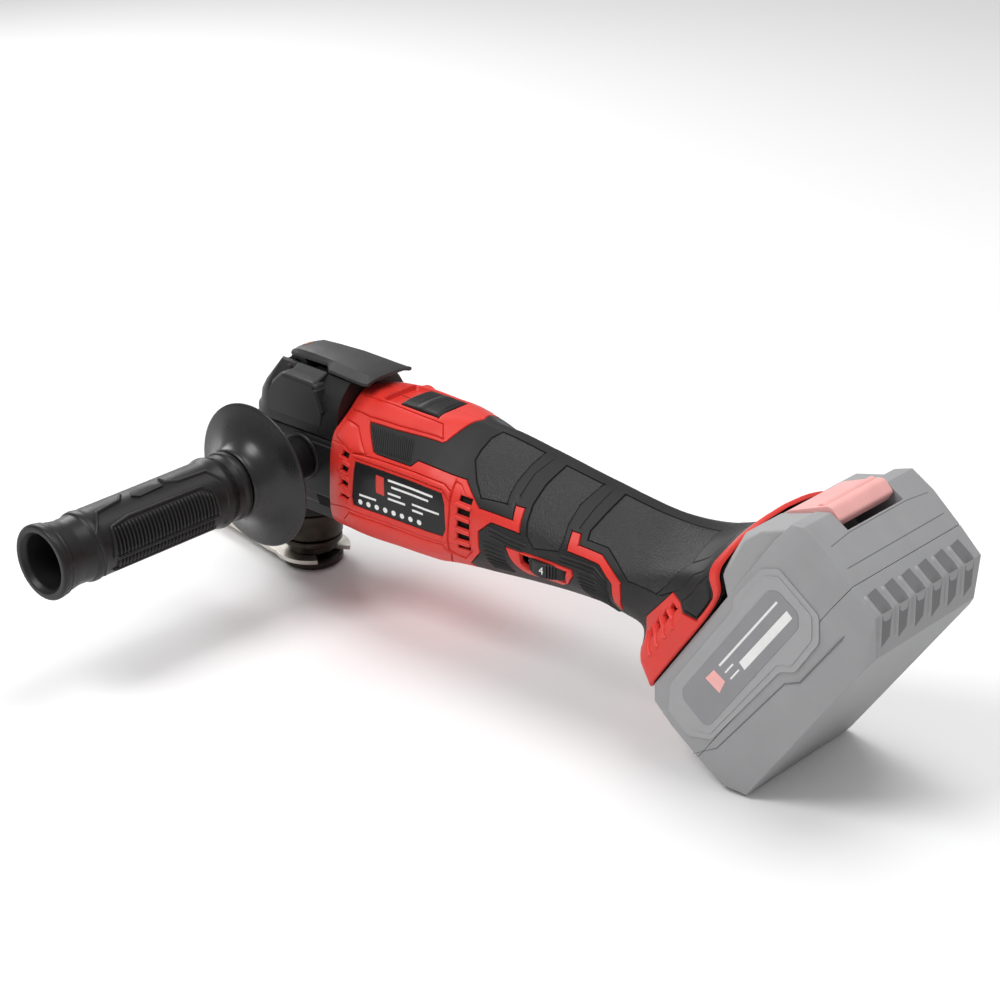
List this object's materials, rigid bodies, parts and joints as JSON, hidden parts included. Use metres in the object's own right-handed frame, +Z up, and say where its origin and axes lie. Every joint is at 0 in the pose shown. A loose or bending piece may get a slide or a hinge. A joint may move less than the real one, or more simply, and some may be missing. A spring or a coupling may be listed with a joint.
{
  "type": "cordless oscillating multi-tool",
  "caption": "Handheld cordless oscillating multi-tool with plunge blade, lever clamp, side handle with guard, speed dial and slide-on battery.",
  "frame": {"origin": "centre of the clamp disc's underside, on the spindle axis", "axes": "+X from the head to the battery, +Z up along the spindle, -Y the side that carries the handle"},
  "size_m": [0.4083, 0.2023, 0.1222],
  "materials": {
    "red_housing": "satin moulded nylon",
    "black_rubber": "fine textured soft overmould",
    "head_plastic": "fine spark-eroded texture",
    "lever_plastic": "fine texture with a soft sheen",
    "guard_plastic": "semi-gloss moulded",
    "blackened_steel": "black oxide, turned",
    "bright_steel": "ground and brushed",
    "insert_brass": "turned",
    "winding_copper": "enamelled copper winding around laminated steel",
    "board_green": "solder mask",
    "cell_sleeve": "shrink sleeve",
    "battery_grey": "fine textured",
    "latch_red": "satin moulded",
    "label_black": "printed film, blank",
    "switch_black": "ribbed, satin"
  },
  "bodies": {
    "housing": {"housing_left": "red_housing", "housing_right": "red_housing", "grip_left": "black_rubber", "grip_right": "black_rubber", "rating_plate": "label_black", "gear_case": "head_plastic", "head_cover": "head_plastic", "neck_sleeve": "blackened_steel", "dust_seal": "black_rubber", "lower_bearing": "bright_steel", "upper_bearing": "bright_steel", "lever_pin": "bright_steel", "handle_insert_left": "insert_brass", "handle_insert_right": "insert_brass", "bearing_shield": "blackened_steel", "front_motor_bearing": "bright_steel", "rear_motor_bearing": "bright_steel", "stator": "winding_copper", "microswitch": "switch_black", "control_board": "board_green", "terminal_block": "switch_black", "contact_positive": "bright_steel", "contact_negative": "bright_steel", "housing_screw_front_low": "blackened_steel", "housing_screw_front_high": "blackened_steel", "housing_screw_middle_low": "blackened_steel", "housing_screw_grip": "blackened_steel", "housing_screw_rear": "blackened_steel"},
    "spindle": {"spindle": "bright_steel", "tool_flange": "blackened_steel", "drive_fork": "blackened_steel", "saw_blade": "bright_steel"},
    "clamp": {"clamp_disc": "blackened_steel", "clamp_rod": "bright_steel"},
    "lever": {"clamp_lever": "lever_plastic"},
    "motor": {"motor_shaft": "bright_steel", "rotor": "blackened_steel", "fan": "switch_black", "eccentric_bearing": "bright_steel"},
    "switch": {"switch_slider": "switch_black", "switch_rod": "switch_black"},
    "dial": {"speed_dial": "switch_black"},
    "battery": {"battery_base": "battery_grey", "battery_cover": "battery_grey", "battery_board": "board_green", "cell_upper_1": "cell_sleeve", "cell_upper_2": "cell_sleeve", "cell_upper_3": "cell_sleeve", "cell_upper_4": "cell_sleeve", "cell_upper_5": "cell_sleeve", "cell_lower_1": "cell_sleeve", "cell_lower_2": "cell_sleeve", "cell_lower_3": "cell_sleeve", "cell_lower_4": "cell_sleeve", "cell_lower_5": "cell_sleeve"},
    "latch": {"battery_latch": "latch_red"},
    "handle": {"side_handle": "black_rubber", "hand_guard": "guard_plastic", "handle_stud": "bright_steel"}
  },
  "joints": [
    {"name": "spindle_oscillation", "type": "hinge", "parent": "housing", "child": "spindle", "pos_m": [0, 0, 0.04], "axis": [0, 0, 1], "range_deg": [-1.6, 1.6]},
    {"name": "clamp_release", "type": "slide", "parent": "spindle", "child": "clamp", "axis": [0, 0, -1], "range_m": [0, 0.002]},
    {"name": "lever_hinge", "type": "hinge", "parent": "housing", "child": "lever", "pos_m": [0.006, 0, 0.1], "axis": [0, -1, 0], "range_deg": [0, 100]},
    {"name": "motor_spin", "type": "hinge", "parent": "housing", "child": "motor", "pos_m": [0.06, 0, 0.0675], "axis": [1, 0, 0], "continuous": true},
    {"name": "switch_slide", "type": "slide", "parent": "housing", "child": "switch", "axis": [-1, 0, 0], "range_m": [0, 0.008]},
    {"name": "speed_dial_turn", "type": "hinge", "parent": "housing", "child": "dial", "pos_m": [0.1665, -0.0176, 0.0593], "axis": [0, 0, 1], "range_deg": [-135, 90]},
    {"name": "battery_slide", "type": "slide", "parent": "housing", "child": "battery", "axis": [0.5664, 0, 0.8241], "range_m": [0, 0.09]},
    {"name": "latch_press", "type": "slide", "parent": "battery", "child": "latch", "axis": [0.8241, 0, -0.5664], "range_m": [0, 0.0035], "stiffness_N_per_m": 1500},
    {"name": "handle_unscrew", "type": "slide", "parent": "housing", "child": "handle", "axis": [0, -1, 0], "range_m": [0, 0.018]}
  ],
  "couplings": [
    {"joint": "lever_hinge", "follows": "clamp_release", "rad_per_m": 872.66}
  ]
}
